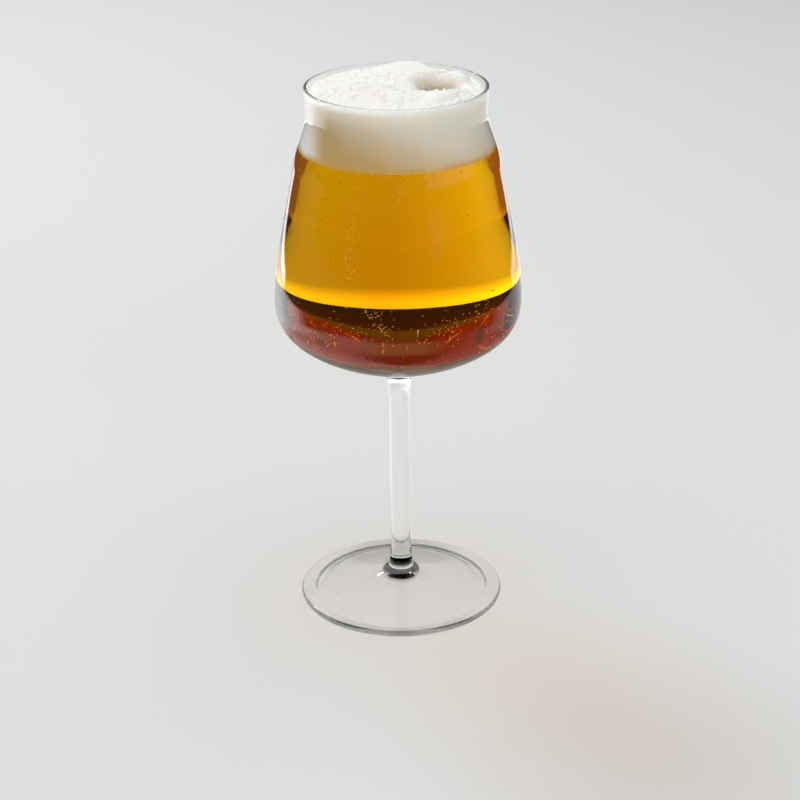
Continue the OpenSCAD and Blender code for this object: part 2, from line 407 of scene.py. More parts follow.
class TulipGlass(bpy.types.PropertyGroup):
    """All the settings of the tulip glass."""

    bowl: PointerProperty(type=TulipBowlSizes)
    stem: PointerProperty(type=TulipStemSizes)
    foot: PointerProperty(type=TulipFootSizes)
    drink: PointerProperty(type=TulipDrinkSizes)
    stage: PointerProperty(type=TulipStageSizes)


def settings():
    """The scene's tulip glass settings."""
    return bpy.context.scene.tulip_glass


def station(r, z, heading, before=0.0, after=0.0):
    """A point of a turned outline: radius, height, heading in degrees, and the reach of its handles."""
    return (Vector((r, z)), math.radians(heading), before, after)


def outline(stations, steps):
    """Points of a smooth outline through the stations, steps points to each stretch."""
    points = [stations[0][0]]
    for (p0, a0, _, after), (p3, a3, before, _) in zip(stations[:-1], stations[1:]):
        p1 = p0 + after * Vector((math.cos(a0), math.sin(a0)))
        p2 = p3 - before * Vector((math.cos(a3), math.sin(a3)))
        for i in range(1, steps + 1):
            t = i / steps
            s = 1.0 - t
            points.append(p0 * s**3 + p1 * (3 * t * s * s) + p2 * (3 * t * t * s) + p3 * t**3)
    return points


def turned(points, steps):
    """A bmesh turned on the Z axis from an outline of (radius, height) points."""
    bm = bmesh.new()
    verts = [bm.verts.new((max(p[0], 0.0), 0.0, p[1])) for p in points]
    edges = [bm.edges.new(pair) for pair in zip(verts[:-1], verts[1:])]
    sectors = 8
    bmesh.ops.spin(bm, geom=verts + edges, angle=math.tau / sectors, steps=steps // sectors, **ABOUT_Z)
    sector = bm.verts[:] + bm.edges[:] + bm.faces[:]
    rest = math.tau * (sectors - 1) / sectors
    bmesh.ops.spin(bm, geom=sector, angle=rest, steps=sectors - 1, use_duplicate=True, **ABOUT_Z)
    bmesh.ops.remove_doubles(bm, verts=bm.verts, dist=TOUCH)
    bmesh.ops.recalc_face_normals(bm, faces=bm.faces)
    return bm


def beads(spots, around, along):
    """A bmesh of small balls of few faces, one at each (place, radius, stretch) of spots."""
    ball = bmesh.new()
    bmesh.ops.create_uvsphere(ball, u_segments=around, v_segments=along, radius=1.0)
    pattern = bpy.data.meshes.new("bead_pattern")
    ball.to_mesh(pattern)
    ball.free()
    bm = bmesh.new()
    for place, radius, stretch in spots:
        move = Matrix.Translation(place) @ Matrix.Diagonal((radius, radius, radius * stretch, 1.0))
        pattern.transform(move)
        bm.from_mesh(pattern)
        pattern.transform(move.inverted())
    bpy.data.meshes.remove(pattern)
    return bm


def piece_from(bm, name, materials, node=None):
    """Turns a bmesh into a piece that rides on the glass, and stands for a CAD node."""
    for face in bm.faces:
        face.smooth = True
    mesh = bpy.data.meshes.new(name)
    bm.to_mesh(mesh)
    bm.free()
    for material in materials:
        mesh.materials.append(material)
    piece = bpy.data.objects.new(name, mesh)
    bpy.context.scene.collection.objects.link(piece)
    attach(piece, "root")
    if node:
        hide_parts(node)
    return piece


def wall_stations(sizes, belly_in, shoulder_in, lip_in):
    """Stations up the bowl's wall from the belly to the lip, set in from its outside."""
    rim_z = BOWL_BOX[1].z
    lip_z = rim_z - sizes.lip_wall / 2
    neck_z = rim_z - sizes.neck_depth
    shoulder_z = rim_z - sizes.shoulder_depth
    belly_z = BOWL_BOX[0].z + sizes.belly_rise
    belly_r = BOWL_BOX[1].x - belly_in
    shoulder_r = sizes.shoulder_d / 2 - shoulder_in
    neck_r = sizes.neck_d / 2 - lip_in
    lip_r = sizes.rim_d / 2 - lip_in
    low = shoulder_z - belly_z
    high = neck_z - shoulder_z
    lean = 90.0 + math.degrees(sizes.shoulder_lean)
    turn = QUARTER_ROUND * sizes.lip_wall / 2
    return [
        station(belly_r, belly_z, 90, BELLY_EASE[0] * sizes.belly_rise, BELLY_EASE[1] * low),
        station(shoulder_r, shoulder_z, lean, SHOULDER_EASE[0] * low, SHOULDER_EASE[1] * high),
        station(neck_r, neck_z, 90, NECK_EASE[0] * high, NECK_EASE[1] * sizes.neck_depth),
        station(lip_r, lip_z, 90, LIP_EASE * sizes.neck_depth, turn),
    ]


def cavity_stations(sizes, inset):
    """Stations of the bowl's inside, from its floor to the lip, set in by inset."""
    floor_z = BOWL_BOX[0].z + sizes.base_wall + inset
    floor_r = sizes.floor_d / 2 - inset
    turn_r = floor_r + sizes.floor_turn
    turn_z = floor_z + FLOOR_TURN_RISE * sizes.floor_turn
    slope = math.degrees(sizes.floor_slope)
    floor = FLOOR_EASE * floor_r
    turn = FLOOR_TURN_EASE * sizes.floor_turn
    climb = FLOOR_EASE * (BOWL_BOX[1].x - turn_r)
    walls = (sizes.belly_wall, sizes.shoulder_wall, sizes.lip_wall)
    wall = wall_stations(sizes, *[thickness + inset for thickness in walls])
    return [
        station(0.0, floor_z, 0, 0.0, floor),
        station(floor_r, floor_z, 0, floor, turn),
        station(turn_r, turn_z, slope, turn, climb),
    ] + wall


def feed(tree, node, inputs):
    """Fills a node's inputs by name or number, each from a socket or with a plain value."""
    for key, value in inputs.items():
        if isinstance(value, bpy.types.NodeSocket):
            tree.links.new(value, node.inputs[key])
        else:
            node.inputs[key].default_value = value


def node_in(tree, kind, inputs=None, **values):
    """Adds a node to a tree, sets its own values and fills its inputs."""
    made = tree.nodes.new(kind)
    for key, value in values.items():
        setattr(made, key, value)
    feed(tree, made, inputs or {})
    return made


def reckon(tree, operation, *values, clamp=False):
    """A Math node fed by sockets or plain numbers; gives its output."""
    inputs = dict(enumerate(values))
    return node_in(tree, "ShaderNodeMath", inputs, operation=operation, use_clamp=clamp).outputs[0]


def ramp_of(tree, value, low, high, out_low=0.0, out_high=1.0, smooth=True):
    """A Map Range node from low..high to out_low..out_high; gives its output."""
    inputs = {"Value": value, "From Min": low, "From Max": high, "To Min": out_low, "To Max": out_high}
    bend = "SMOOTHSTEP" if smooth else "LINEAR"
    return node_in(tree, "ShaderNodeMapRange", inputs, interpolation_type=bend).outputs["Result"]


def blend(tree, factor, first, second):
    """A Mix node from one colour to another; each is a socket or a plain colour; gives its output."""
    inputs = {"Factor": factor}
    for name, colour in (("A", first), ("B", second)):
        inputs[name] = colour if isinstance(colour, bpy.types.NodeSocket) else (*colour, 1.0)
    return node_in(tree, "ShaderNodeMix", inputs, data_type="RGBA").outputs["Result"]


def group_with(name, inputs, outputs):
    """A new node group with a Vector and named inputs; gives it, what it takes and its output node."""
    group = bpy.data.node_groups.new(name, "ShaderNodeTree")
    group.interface.new_socket("Vector", in_out="INPUT", socket_type="NodeSocketVector")
    for label in inputs:
        group.interface.new_socket(label, in_out="INPUT", socket_type="NodeSocketFloat")
    for label in outputs:
        group.interface.new_socket(label, in_out="OUTPUT", socket_type="NodeSocketFloat")
    return group, node_in(group, "NodeGroupInput").outputs, node_in(group, "NodeGroupOutput")


def blown_waver_group():
    """Node group: the slow ripple and faint smears that blown glass carries."""
    if "blown_waver" in bpy.data.node_groups:
        return bpy.data.node_groups["blown_waver"]
    group, taken, given = group_with("blown_waver", ("Ripple scale", "Smear"), ("Height", "Roughness"))
    slow = {"Vector": taken["Vector"], "Scale": taken["Ripple scale"], "Detail": 1.0, "Roughness": 0.35}
    ripple = node_in(group, "ShaderNodeTexNoise", slow)
    smear = node_in(group, "ShaderNodeTexNoise", {"Vector": taken["Vector"], "Scale": 70.0, "Detail": 3.0})
    patch = ramp_of(group, smear.outputs["Fac"], 0.56, 0.78)
    rough = reckon(group, "MULTIPLY", patch, taken["Smear"])
    feed(group, given, {"Height": ripple.outputs["Fac"], "Roughness": rough})
    return group


def foam_cells_group():
    """Node group: packed bubbles of foam, as a height and a mask of the gaps between them."""
    if "foam_cells" in bpy.data.node_groups:
        return bpy.data.node_groups["foam_cells"]
    group, taken, given = group_with("foam_cells", ("Cell scale",), ("Height", "Gap"))
    away = []
    for finer in (1.0, 2.6):
        scale = reckon(group, "MULTIPLY", taken["Cell scale"], finer)
        packed = {"Vector": taken["Vector"], "Scale": scale, "Smoothness": 0.25}
        cells = node_in(group, "ShaderNodeTexVoronoi", packed, feature="SMOOTH_F1")
        away.append(cells.outputs["Distance"])
    both = reckon(group, "MULTIPLY_ADD", away[1], 0.45, away[0])
    height = reckon(group, "SUBTRACT", 1.0, both)
    feed(group, given, {"Height": height, "Gap": ramp_of(group, both, 0.55, 1.05)})
    return group


def principled(name, inputs):
    """A new material, its tree, its Principled shader filled with inputs, and its output."""
    material = bpy.data.materials.new(name)
    material.use_nodes = True
    tree = material.node_tree
    shader = tree.nodes["Principled BSDF"]
    feed(tree, shader, inputs)
    return material, tree, shader, tree.nodes["Material Output"]


def let_lamps_through(tree, shader, output, shade):
    """Lets lamp light and scattered light pass straight, weakened to shade, and more where they graze."""
    path = node_in(tree, "ShaderNodeLightPath").outputs
    away = node_in(tree, "ShaderNodeLayerWeight").outputs["Facing"]
    grazing = ramp_of(tree, away, GRAZE_START, 1.0)
    colour = blend(tree, grazing, shade, [GRAZE_SHADE * value for value in shade])
    clear = node_in(tree, "ShaderNodeBsdfTransparent", {"Color": colour})
    straight = reckon(tree, "MAXIMUM", path["Is Shadow Ray"], path["Is Diffuse Ray"])
    both = {"Fac": straight, 1: shader.outputs["BSDF"], 2: clear.outputs["BSDF"]}
    mix = node_in(tree, "ShaderNodeMixShader", both)
    feed(tree, output, {"Surface": mix.outputs["Shader"]})


def glass_material(name, index, shade, smear=0.0, rippled=True):
    """Clear soda glass; index is against what it touches, shade is what it leaves of straight light."""
    if name in bpy.data.materials:
        return bpy.data.materials[name]
    material, tree, shader, output = principled(name, {**CLEAR, "IOR": index})
    if rippled:
        place = node_in(tree, "ShaderNodeTexCoord").outputs["Object"]
        blown = {"Vector": place, "Ripple scale": RIPPLES, "Smear": smear}
        waver = node_in(tree, "ShaderNodeGroup", blown, node_tree=blown_waver_group()).outputs
        relief = {"Height": waver["Height"], "Strength": 1.0, "Distance": RIPPLE_H}
        bump = node_in(tree, "ShaderNodeBump", relief)
        feed(tree, shader, {"Roughness": waver["Roughness"], "Normal": bump.outputs["Normal"]})
    let_lamps_through(tree, shader, output, shade)
    return material


def dry_glass():
    """Glass against air."""
    return glass_material("blown_glass", GLASS_INDEX, WHITE, smear=SMEAR)


def wetted_glass():
    """Glass against the drink, which is nearly as dense."""
    return glass_material("wetted_glass", WETTED_INDEX, (0.995, 0.995, 0.995))


def fused_glass():
    """Glass against glass, where two parts of it are fused."""
    return glass_material("fused_glass", 1.0, WHITE, rippled=False)


def beer_material(drink):
    """Clear amber beer, whose colour deepens with the way through it; the wetted glass does the bending."""
    material, tree, shader, output = principled("amber_beer", {**CLEAR, "IOR": 1.0})
    lost = list(drink.beer_light)
    most = max(lost)
    kept = (*[1.0 - value / most for value in lost], 1.0)
    volume = node_in(tree, "ShaderNodeVolumeAbsorption", {"Color": kept, "Density": most})
    feed(tree, output, {"Volume": volume.outputs["Volume"]})
    let_lamps_through(tree, shader, output, (0.98, 0.98, 0.98))
    return material


def bubble_material():
    """A gas bubble in the beer: a golden ball that scatters more light than it lets through; its gold is
    painted light, the amber glow a clear bubble catches in the beer.
    """
    golden = {"Base Color": (1.0, 0.62, 0.12, 1.0), "Transmission Weight": 0.15, "Roughness": 0.1}
    material, tree, shader, output = principled("gas_bubble", {**golden, "IOR": DRINK_INDEX})
    let_lamps_through(tree, shader, output, WHITE)
    return material


def bead_material():
    """A single foam bubble: a pale ball with a soft spot of light, nearly opaque."""
    pale = {"Base Color": (0.97, 0.96, 0.94, 1.0), "Transmission Weight": 0.05, "Roughness": 0.22}
    material, tree, shader, output = principled("foam_bead", {**pale, "IOR": DRINK_INDEX})
    let_lamps_through(tree, shader, output, (0.9, 0.9, 0.88))
    return material


def foam_material(drink, root_z, edge_z, crown_r):
    """Packed foam: dry and bubbly on top, creamy at the wall, beer-stained where it stands on the beer; with
    painted light on its left flank and right side, and painted shade in its hollows, its cell gaps and under
    its middle.
    """
    soft = {"Subsurface Weight": 0.6, "Subsurface Radius": (1.0, 0.85, 0.6), "Subsurface Scale": 6.0 * MM}
    material, tree, shader, _ = principled("beer_foam", {**soft, "IOR": DRINK_INDEX})
    place = node_in(tree, "ShaderNodeTexCoord").outputs["Object"]
    parts = node_in(tree, "ShaderNodeSeparateXYZ", {"Vector": place}).outputs
    flat = node_in(tree, "ShaderNodeCombineXYZ", {"X": parts["X"], "Y": parts["Y"]}).outputs["Vector"]
    patchy = {"Vector": place, "Scale": 130.0, "Detail": 4.0}
    drift = node_in(tree, "ShaderNodeTexNoise", patchy).outputs["Fac"]
    packed = {"Vector": place, "Cell scale": 950.0}
    cells = node_in(tree, "ShaderNodeGroup", packed, node_tree=foam_cells_group()).outputs

    # The foam pales upwards from beer-stained to creamy, and on its loose dry crown; its paling to the right
    # and at its left flank is painted light
    height = reckon(tree, "MULTIPLY_ADD", drift, 4.0 * MM, parts["Z"])
    height = reckon(tree, "MULTIPLY_ADD", parts["X"], 0.32, height)
    cream_and_lit_right = ramp_of(tree, height, root_z - 1.0 * MM, root_z + 23.0 * MM)
    lit_flank = ramp_of(tree, parts["X"], -24.0 * MM, -31.0 * MM)
    loose = ramp_of(tree, parts["Z"], edge_z - 1.6 * MM, edge_z + 0.6 * MM)
    body = blend(tree, cream_and_lit_right, drink.foam_root_and_gap_shade, drink.foam_side)
    body = blend(tree, lit_flank, body, drink.foam_dry_and_lit)
    body = blend(tree, loose, body, drink.foam_dry_and_lit)

    # Beer stains its lowest rim; towards the middle of its underside the foam darkens with painted shade
    fringe = reckon(tree, "MULTIPLY_ADD", drift, 2.2 * MM, parts["Z"])
    wet = ramp_of(tree, fringe, root_z + 3.6 * MM, root_z + 0.9 * MM)
    outward = node_in(tree, "ShaderNodeVectorMath", {0: flat}, operation="LENGTH").outputs["Value"]
    rim = ramp_of(tree, outward, 8.0 * MM, 24.0 * MM)
    body = blend(tree, wet, body, blend(tree, rim, drink.foam_core_shade, drink.foam_fringe))

    # Painted shade darkens the foam inside the deep hollows
    hollow_shade = 0.0
    for x, y, width, _ in DEEP_HOLLOWS:
        ends = {0: flat, 1: (x * crown_r, y * crown_r, 0.0)}
        away = node_in(tree, "ShaderNodeVectorMath", ends, operation="DISTANCE").outputs["Value"]
        inside = ramp_of(tree, away, 1.2 * width * crown_r, 0.5 * width * crown_r)
        hollow_shade = reckon(tree, "MAXIMUM", hollow_shade, inside)
    deep = ramp_of(tree, parts["Z"], edge_z - 9.0 * MM, edge_z - 7.0 * MM, 0.0, 0.9)
    body = blend(tree, reckon(tree, "MULTIPLY", hollow_shade, deep), body, drink.foam_hollow_shade)

    # Gaps between its cells are rougher and get painted shade, and the cells stand out on the crown
    gap_shade = reckon(tree, "MULTIPLY", cells["Gap"], reckon(tree, "MULTIPLY", loose, 0.07))
    body = blend(tree, gap_shade, body, drink.foam_root_and_gap_shade)
    rough = ramp_of(tree, cells["Gap"], 0.0, 1.0, 0.42, 0.75)
    strength = ramp_of(tree, loose, 0.0, 1.0, 0.0, 0.2)
    relief = {"Height": cells["Height"], "Strength": strength, "Distance": 0.5 * MM}
    bump = node_in(tree, "ShaderNodeBump", relief)
    feed(tree, shader, {"Base Color": body, "Roughness": rough, "Normal": bump.outputs["Normal"]})
    return material


class TULIP_OT_bowl(bpy.types.Operator):
    """Blows the bowl: a tulip wall with a rounded lip on a short boss"""

    bl_idname = "tulip.bowl"
    bl_label = "Bowl"

    def execute(self, context):
        sizes = settings().bowl
        bowl_z = BOWL_BOX[0].z
        rim_z = BOWL_BOX[1].z
        joint_r = settings().stem.bowl_joint_d / 2
        joint_heading = 90.0 - math.degrees(settings().stem.bowl_joint_lean)
        boss_r = sizes.boss_d / 2
        boss_turn = QUARTER_ROUND * (boss_r - joint_r)
        skirt = SKIRT_EASE * (BOWL_BOX[1].x - boss_r)
        slope = math.degrees(sizes.underside_slope)
        boss = [
            station(joint_r, bowl_z, joint_heading, 0.0, QUARTER_ROUND * sizes.boss_h),
            station(boss_r, bowl_z + sizes.boss_h, slope, boss_turn, skirt),
        ]
        lip_turn = QUARTER_ROUND * sizes.lip_wall / 2
        lip = station(sizes.rim_d / 2 - sizes.lip_wall / 2, rim_z, 180, lip_turn, lip_turn)
        outside = outline(boss + wall_stations(sizes, 0.0, 0.0, 0.0) + [lip], steps=26)
        inside = outline(cavity_stations(sizes, 0.0), steps=26)
        turn_in = outline([lip, station(*inside[-1], 270, lip_turn)], steps=8)
        bm = turned([Vector((0.0, bowl_z))] + outside + turn_in[1:-1] + inside[::-1], steps=192)
        made_of = [dry_glass(), wetted_glass(), fused_glass()]
        wet_z = rim_z - settings().drink.cling_depth
        inside_z = bowl_z + sizes.base_wall / 2
        for face in bm.faces:
            middle = face.calc_center_median()
            inward = face.normal.dot(Vector((middle.x, middle.y, 0.0))) < 0.0
            on_floor = middle.z > inside_z and face.normal.z > 0.5
            if middle.z < bowl_z + TOUCH:
                face.material_index = 2
            elif middle.z < wet_z and (inward or on_floor):
                face.material_index = 1
        piece_from(bm, "blown_bowl", made_of, "bowl")
        return {"FINISHED"}


class TULIP_OT_stem(bpy.types.Operator):
    """Draws the stem: a slim rod with a waist, flaring to both ends"""

    bl_idname = "tulip.stem"
    bl_label = "Stem"

    def execute(self, context):
        sizes = settings().stem
        low_z = STEM_BOX[0].z
        high_z = STEM_BOX[1].z
        waist_z = low_z + sizes.waist_rise
        below = STEM_EASE * sizes.waist_rise
        above = STEM_EASE * (high_z - waist_z)
        foot_heading = 90 + math.degrees(sizes.foot_joint_lean)
        bowl_heading = 90 - math.degrees(sizes.bowl_joint_lean)
        side = [
            station(sizes.foot_joint_d / 2, low_z, foot_heading, 0.0, below),
            station(sizes.waist_d / 2, waist_z, 90, below, above),
            station(sizes.bowl_joint_d / 2, high_z, bowl_heading, FLARE_EASE * sizes.bowl_joint_d),
        ]
        bm = turned([Vector((0.0, low_z))] + outline(side, steps=30) + [Vector((0.0, high_z))], steps=96)
        for face in bm.faces:
            if abs(face.normal.z) > LEVEL:
                face.material_index = 1
        piece_from(bm, "drawn_stem", [dry_glass(), fused_glass()], "stem")
        return {"FINISHED"}


class TULIP_OT_foot(bpy.types.Operator):
    """Presses the foot: a trumpet running out into a thin disc with a rounded edge"""

    bl_idname = "tulip.foot"
    bl_label = "Foot"

    def execute(self, context):
        sizes = settings().foot
        low_z = FOOT_BOX[0].z
        top_z = FOOT_BOX[1].z
        foot_r = FOOT_BOX[1].x
        round_r = sizes.edge_h / 2
        disc_r = foot_r - round_r
        trumpet_r = sizes.trumpet_d / 2
        trumpet_z = low_z + sizes.trumpet_h
        turn = QUARTER_ROUND * round_r
        collar = COLLAR_EASE * (top_z - trumpet_z)
        disc = DISC_EASE * (disc_r - trumpet_r)
        joint_r = settings().stem.foot_joint_d / 2
        joint_heading = 270 + math.degrees(settings().stem.foot_joint_lean)
        above = [
            station(joint_r, top_z, joint_heading, 0.0, collar),
            station(trumpet_r, trumpet_z, -math.degrees(sizes.trumpet_slope), collar, disc),
            station(disc_r, low_z + sizes.edge_h, -math.degrees(sizes.disc_slope), disc, turn),
            station(foot_r, low_z + round_r, -90, turn, turn),
            station(disc_r, low_z, -180, turn),
        ]
        ring_r = disc_r - sizes.rest_ring
        step_r = ring_r - sizes.step_w
        step_z = low_z + sizes.step_h
        step = STEP_EASE * sizes.step_w
        step_heading = 180 - math.degrees(sizes.step_slope)
        run_heading = 180 - math.degrees(sizes.run_slope)
        hollow = [ease * ring_r for ease in HOLLOW_EASE]
        below = [
            station(ring_r, low_z, 180, 0.0, step),
            station(step_r, step_z, step_heading, step, step),
            station(step_r - sizes.run_w, step_z + sizes.run_h, run_heading, step, hollow[0]),
            station(0.0, low_z + sizes.hollow_h, 180, hollow[1]),
        ]
        bm = turned([Vector((0.0, top_z))] + outline(above, steps=22) + outline(below, steps=26), steps=192)
        for face in bm.faces:
            if face.normal.z > LEVEL and face.calc_center_median().z > top_z - TOUCH:
                face.material_index = 1
        piece_from(bm, "pressed_foot", [dry_glass(), fused_glass()], "foot")
        return {"FINISHED"}


class TULIP_OT_beer(bpy.types.Operator):
    """Pours the beer: the bowl's inside up to the foam"""

    bl_idname = "tulip.beer"
    bl_label = "Beer"

    def execute(self, context):
        drink = settings().drink
        level = BEER_BOX[1].z
        inside = outline(cavity_stations(settings().bowl, drink.clearance), steps=26)
        side = [point for point in inside if point.y < level - SURFACE_GAP]
        last = side[-1]
        above = inside[len(side)]
        side.append(last.lerp(above, (level - last.y) / (above.y - last.y)))
        bm = turned(side + [Vector((0.0, level))], steps=128)
        piece_from(bm, "poured_beer", [beer_material(drink)], "beer")
        return {"FINISHED"}


def crown_height(x, y):
    """Rise of the crown's top at a place, in metres; x and y are shares of the crown's radius."""
    rise = CROWN_TILT * x - CROWN_SINK
    for px, py, width, height in HEAPS:
        away = math.hypot(x - px, y - py) / width
        rise += height * math.exp(-away * away)
    for px, py, width, depth in DEEP_HOLLOWS + SHALLOW_HOLLOWS:
        away = math.hypot(x - px, y - py) / width
        rise -= depth * math.exp(-(away**4))
    return rise


def froth(x, y):
    """How bubbly the crown is at a place, from 0 to 1; x and y are shares of the crown's radius."""
    patches = []
    for px, py, width, most in FROTHY:
        away = math.hypot(x - px, y - py) / width
        patches.append(most * math.exp(-away * away))
    return max(patches)


def held(value, least=0.0):
    """A value held between the least and 1."""
    return min(max(value, least), 1.0)


class TULIP_OT_foam(bpy.types.Operator):
    """Heaps the foam: a collar that clings to the glass under a loose crown"""

    bl_idname = "tulip.foam"
    bl_label = "Foam"

    def execute(self, context):
        drink = settings().drink
        root_z = FOAM_BOX[0].z
        rim_z = BOWL_BOX[1].z
        cling_z = rim_z - drink.cling_depth
        edge_z = rim_z - drink.crown_edge_depth
        crown_z = rim_z + drink.crown_rise
        crown_r = drink.crown_d / 2
        inside = outline(cavity_stations(settings().bowl, drink.clearance), steps=60)
        collar = [point for point in inside if root_z < point.y < cling_z]
        foot = Vector((collar[0].x + 0.1 * MM, root_z))
        leave = station(*collar[-1], 110, 0.0, 0.7 * MM)
        edge = station(crown_r + 0.6 * MM, edge_z + 0.5 * MM, 160, 0.7 * MM, 0.8 * MM)
        brow = station(crown_r - 2.2 * MM, edge_z + 0.8 * MM, 170, 1.2 * MM, 6.0 * MM)
        peak = station(0.0, crown_z, 180, CROWN_EASE * crown_r)
        turn_in = outline([leave, edge, brow], steps=14)
        crown = outline([brow, peak], steps=68)
        bm = turned([Vector((0.0, root_z)), foot] + collar + turn_in[1:] + crown[1:], steps=384)
        self.rough_up(bm, cling_z, edge_z, crown_r)
        spots = self.bead_spots(bm, drink.foam_beads, edge_z, crown_r)
        made_of = [foam_material(drink, root_z, edge_z, crown_r)]
        piece_from(bm, "foam_crown", made_of, "foam_head")
        piece_from(beads(spots, around=8, along=6), "foam_beads", [bead_material()])
        return {"FINISHED"}

    def rough_up(self, bm, cling_z, edge_z, crown_r):
        """Gives the foam its lumps where it has left the wall, and its crown heaps, hollows and cells."""
        bm.normal_update()
        for vert in bm.verts:
            spot = vert.co.copy()
            if spot.z < cling_z:
                continue
            free = held((spot.z - cling_z) / FREE_H)
            free = free * free * (3.0 - 2.0 * free)
            top = held((spot.z - edge_z + TOP_START) / TOP_H)
            curd = noise.noise(spot * CURDS)
            grain = noise.noise(spot * GRAINS)
            out = SWELL_OUT * noise.noise(spot * SWELLS) + (CURD_OUT * curd + GRAIN_OUT * grain) * top
            vert.co += vert.normal * (out * free)
            if top == 0.0:
                continue
            x = spot.x / crown_r
            y = spot.y / crown_r
            cell = noise.voronoi(spot * CELLS)[0][0]
            dome = math.sqrt(max(1.0 - (cell / CELL_R) ** 2, 0.0))
            lumps = CURD_H * abs(curd) + GRAIN_H * abs(grain)
            lumps += (CELL_H + FROTH_H * froth(x, y)) * dome + FINE_H * noise.noise(spot * FINES)
            fall = held((crown_r - math.hypot(spot.x, spot.y)) / FALL_W, FALL_LEAST)
            vert.co.z += (crown_height(x, y) * fall + lumps) * top
        for vert in bm.verts:
            vert.co.z = min(vert.co.z, FOAM_BOX[1].z)
        bm.normal_update()

    def bead_spots(self, bm, wanted, edge_z, crown_r):
        """Places for single bubbles on the crown, thick where it is bubbly and thin at its middle."""
        chance = random.Random(5)
        tops = [vert for vert in bm.verts if vert.co.z > edge_z - 1.0 * MM and vert.normal.z > 0.3]
        spots = []
        while len(spots) < wanted:
            vert = chance.choice(tops)
            x = vert.co.x / crown_r
            y = vert.co.y / crown_r
            if chance.random() > froth(x, y) * math.sqrt(math.hypot(x, y)):
                continue
            size = chance.uniform(*BEAD_R)
            place = vert.co + vert.normal * (0.3 * size)
            if place.z + size < FOAM_BOX[1].z:
                spots.append((place, size, 1.0))
        return spots


def round_glass(reach, bearing, z):
    """A place round the glass, at a bearing in degrees."""
    turn = math.radians(bearing)
    return Vector((reach * math.cos(turn), reach * math.sin(turn), z))


class TULIP_OT_bubbles(bpy.types.Operator):
    """Sets the gas bubbles: some held on the glass, some along the surface, some rising in streams"""

    bl_idname = "tulip.bubbles"
    bl_label = "Bubbles"

    def execute(self, context):
        drink = settings().drink
        chance = random.Random(14)
        inside = outline(cavity_stations(settings().bowl, BUBBLE_INSET), steps=60)
        side = [point for point in inside if point.y < BEER_BOX[1].z - BUBBLE_DEPTH]
        spots = self.on_glass(chance, side, drink.wall_bubbles)
        spots += self.along_surface(chance, side[-1].x - LINE_INSET, drink.line_bubbles)
        spots += self.in_streams(chance, drink.stream_bubbles)
        piece_from(beads(spots, around=6, along=4), "beer_bubbles", [bubble_material()])
        return {"FINISHED"}

    def on_glass(self, chance, side, wanted):
        """Bubbles held on the glass: strewn, in rows, and smeared."""

        def at(bearing, z):
            return round_glass(min(side, key=lambda point: abs(point.y - z)).x, bearing, z)

        spots = []
        for _ in range(wanted):
            point = side[int(len(side) * chance.random() ** WALL_CROWDING)]
            place = round_glass(point.x, chance.uniform(0.0, 360.0), point.y)
            spots.append((place, chance.uniform(*WALL_BUBBLE_R), 1.0))
        for (low_turn, low), (high_turn, high), spread, row_count in BUBBLE_ROWS:
            for _ in range(row_count):
                up = chance.random()
                bearing = low_turn + (high_turn - low_turn) * up + chance.gauss(0.0, spread)
                z = BOWL_BOX[0].z + low + (high - low) * up + chance.gauss(0.0, ROW_SPREAD)
                place = at(bearing, min(z, BEER_BOX[1].z - BUBBLE_DEPTH))
                spots.append((place, chance.uniform(*ROW_BUBBLE_R), 1.0))
        for bearing, height, smear in BUBBLE_STREAKS:
            spots.append((at(bearing, BOWL_BOX[0].z + height), STREAK_R, smear / 2 / STREAK_R))
        return spots

    def along_surface(self, chance, reach, wanted):
        """A line of bubbles where the beer's surface meets the glass."""
        spots = []
        for _ in range(wanted):
            bearing = chance.uniform(0.0, 360.0)
            size = chance.uniform(*LINE_BUBBLE_R)
            z = BEER_BOX[1].z - LINE_DEPTH - abs(chance.gauss(0.0, LINE_SPREAD))
            spots.append((round_glass(reach, bearing, z), size, 1.0))
        return spots

    def in_streams(self, chance, wanted):
        """Streams of bubbles that sway more as they rise."""
        spots = []
        for start, end, share in BUBBLE_STREAMS:
            low = Vector(start) + Vector((0.0, 0.0, BEER_BOX[0].z))
            high = Vector((*end, BEER_BOX[1].z))
            stream_count = int(wanted * share)
            for step in range(stream_count):
                up = max((step + chance.uniform(-STREAM_JITTER, STREAM_JITTER)) / stream_count, 0.0)
                up = up**STREAM_CROWDING
                place = low.lerp(high, STREAM_START + STREAM_RUN * up)
                sway = STREAM_SWAY + STREAM_SWAY_GROWTH * up
                place.x += chance.gauss(0.0, sway)
                place.y += chance.gauss(0.0, sway)
                spots.append((place, chance.uniform(*STREAM_BUBBLE_R), 1.0))
        return spots


